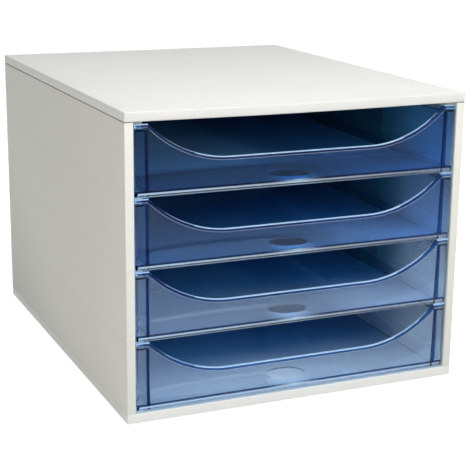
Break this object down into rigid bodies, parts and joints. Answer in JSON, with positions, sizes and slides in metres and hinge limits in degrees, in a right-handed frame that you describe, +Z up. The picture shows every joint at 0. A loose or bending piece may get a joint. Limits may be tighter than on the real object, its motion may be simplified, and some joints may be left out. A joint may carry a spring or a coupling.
{
  "type": "desktop drawer unit",
  "caption": "Desktop unit with see-through drawers, each with a scooped front, that slide on moulded rails inside a pale rectangular housing.",
  "frame": {"origin": "on the surface the feet stand on, under the middle of the housing", "axes": "+X to the right seen from the front, +Y to the back, +Z up; the drawers open towards -Y"},
  "size_m": [0.28, 0.348, 0.235],
  "materials": {
    "housing_plastic": "fine satin moulding texture",
    "drawer_plastic": "clear blue tint, polished",
    "foot_rubber": "matt"
  },
  "bodies": {
    "housing": {"top_panel": "housing_plastic", "bottom_panel": "housing_plastic", "left_side_panel": "housing_plastic", "right_side_panel": "housing_plastic", "back_panel": "housing_plastic", "front_left_foot": "foot_rubber", "front_right_foot": "foot_rubber", "rear_left_foot": "foot_rubber", "rear_right_foot": "foot_rubber"},
    "drawer_1": {"drawer_1": "drawer_plastic"},
    "drawer_2": {"drawer_2": "drawer_plastic"},
    "drawer_3": {"drawer_3": "drawer_plastic"},
    "drawer_4": {"drawer_4": "drawer_plastic"}
  },
  "joints": [
    {"name": "drawer_1_slide", "type": "slide", "parent": "housing", "child": "drawer_1", "axis": [0, -1, 0], "range_m": [0, 0.24]},
    {"name": "drawer_2_slide", "type": "slide", "parent": "housing", "child": "drawer_2", "axis": [0, -1, 0], "range_m": [0, 0.24]},
    {"name": "drawer_3_slide", "type": "slide", "parent": "housing", "child": "drawer_3", "axis": [0, -1, 0], "range_m": [0, 0.24]},
    {"name": "drawer_4_slide", "type": "slide", "parent": "housing", "child": "drawer_4", "axis": [0, -1, 0], "range_m": [0, 0.24]}
  ]
}
